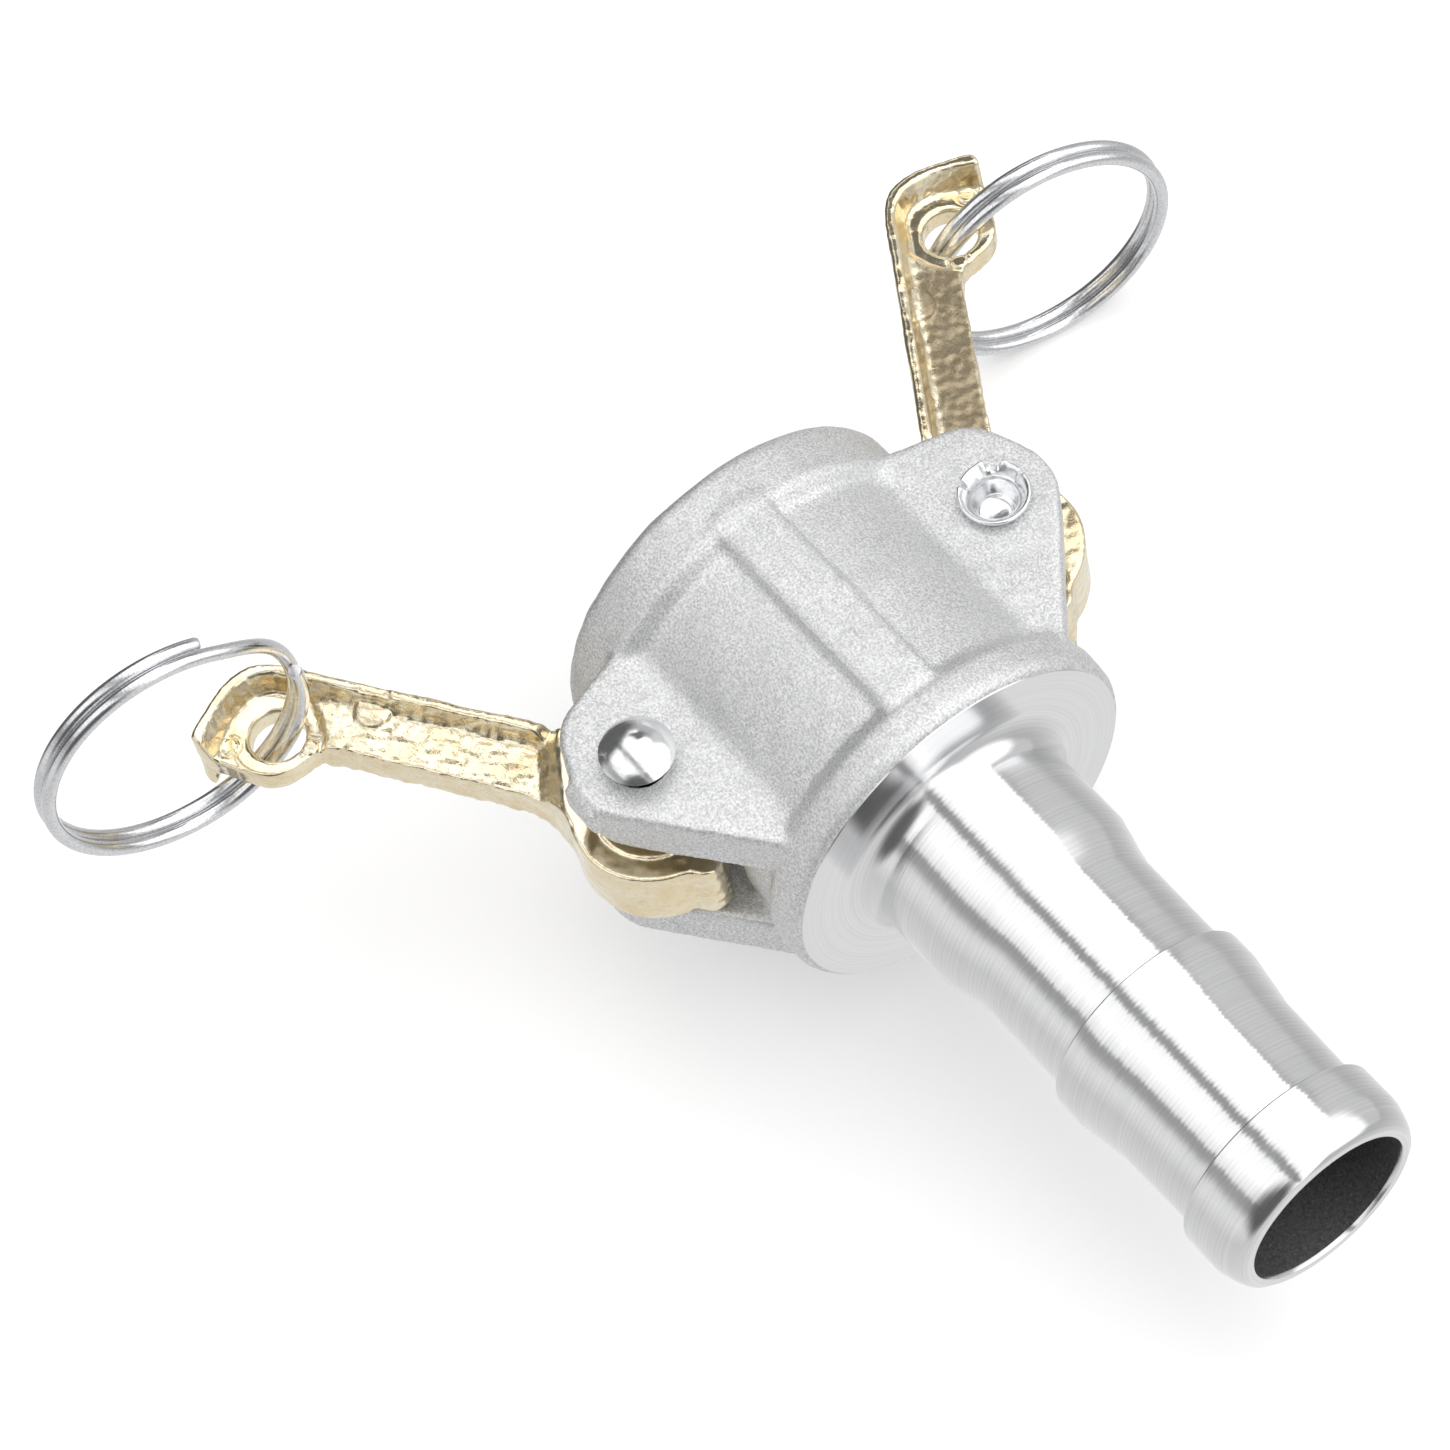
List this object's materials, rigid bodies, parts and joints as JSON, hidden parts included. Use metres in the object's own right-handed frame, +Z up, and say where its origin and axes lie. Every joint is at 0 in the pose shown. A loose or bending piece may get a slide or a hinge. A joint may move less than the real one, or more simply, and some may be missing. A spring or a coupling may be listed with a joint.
{
  "type": "camlock hose coupling",
  "caption": "Female camlock coupler with folding cam arms, pull rings, gasket and a barbed hose shank for quick hose connection.",
  "frame": {"origin": "centre of the coupler mouth, on the flow axis, where the coupler bore starts", "axes": "+X along the flow axis from the mouth to the hose end; +Z up along the two hinge rivets; +Y towards the right cam arm"},
  "size_m": [0.1371, 0.1619, 0.0577],
  "materials": {
    "cast_aluminium": "blasted cast skin, turned base face and shank",
    "black_rubber": "matte",
    "brass": "glossy, orange-peel cast skin",
    "plated_steel": "bright plated",
    "nickel_wire": "bright plated wire"
  },
  "bodies": {
    "body": {"coupler_body": "cast_aluminium", "gasket": "black_rubber", "left_rivet": "plated_steel", "right_rivet": "plated_steel"},
    "left_arm": {"left_cam_arm": "brass"},
    "right_arm": {"right_cam_arm": "brass"},
    "left_ring": {"left_pull_ring": "nickel_wire"},
    "right_ring": {"right_pull_ring": "nickel_wire"}
  },
  "joints": [
    {"name": "left_arm_hinge", "type": "hinge", "parent": "body", "child": "left_arm", "pos_m": [0.02, -0.02615, -0.00135], "axis": [0, 0, 1], "range_deg": [-6, 135]},
    {"name": "right_arm_hinge", "type": "hinge", "parent": "body", "child": "right_arm", "pos_m": [0.02, 0.02615, -0.00135], "axis": [0, 0, -1], "range_deg": [-3, 131]},
    {"name": "left_ring_swing", "type": "hinge", "parent": "left_arm", "child": "left_ring", "pos_m": [-0.01894, -0.053, -0.00135], "axis": [0.9925, -0.1219, 0], "range_deg": [0, 88]},
    {"name": "right_ring_swing", "type": "hinge", "parent": "right_arm", "child": "right_ring", "pos_m": [-0.02042, 0.05071, -0.00135], "axis": [0.9848, -0.1736, 0], "range_deg": [0, 88]}
  ]
}
